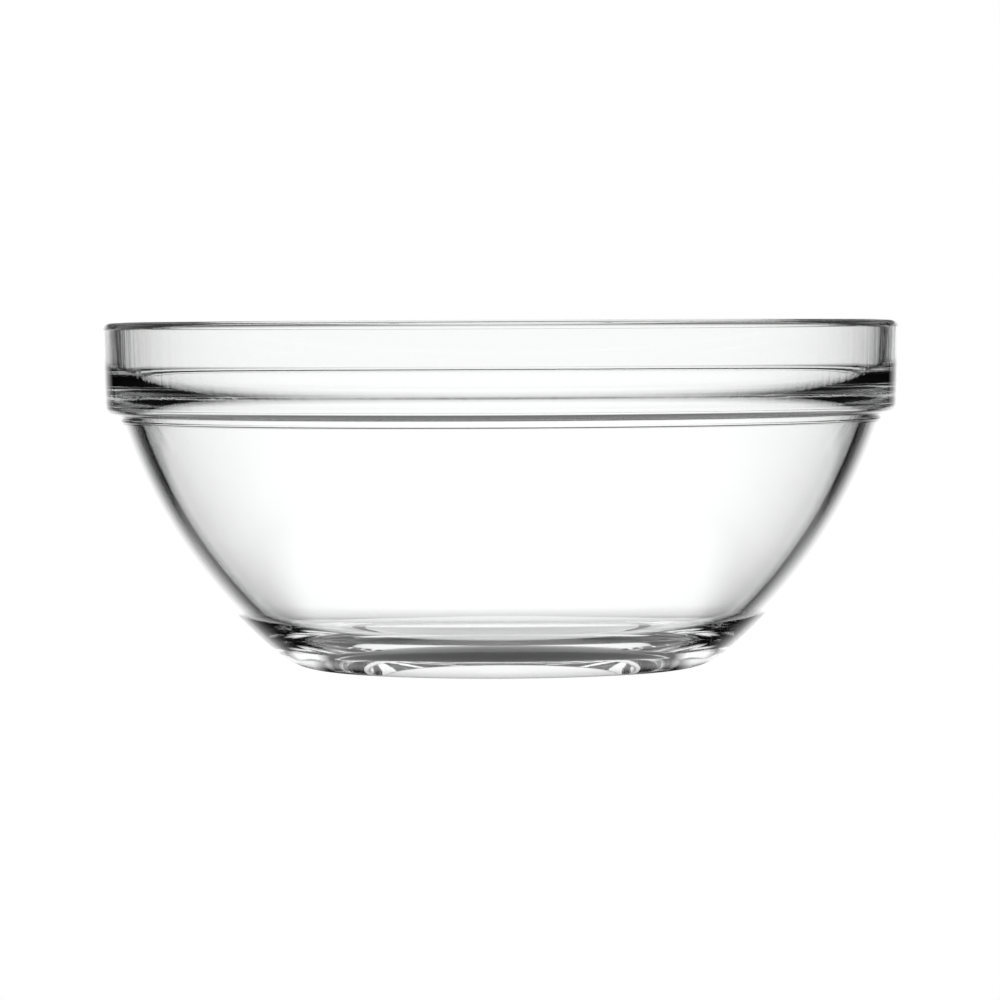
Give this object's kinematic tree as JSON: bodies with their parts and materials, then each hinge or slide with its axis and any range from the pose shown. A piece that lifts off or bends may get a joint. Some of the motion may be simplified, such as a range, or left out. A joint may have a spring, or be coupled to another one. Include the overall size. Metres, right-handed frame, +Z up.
{
  "type": "glass bowl",
  "caption": "Clear pressed-glass round bowl with a thick upright rim band, a stacking shoulder under the band and a recessed foot ring.",
  "frame": {"origin": "centre of the foot ring, on the table plane", "axes": "+Z up along the axis of the bowl, towards the open rim"},
  "size_m": [0.2298, 0.2298, 0.1003],
  "materials": {
    "clear_glass": "fire-polished, clear, colourless"
  },
  "bodies": {
    "root": {"glass_bowl": "clear_glass"}
  },
  "joints": []
}
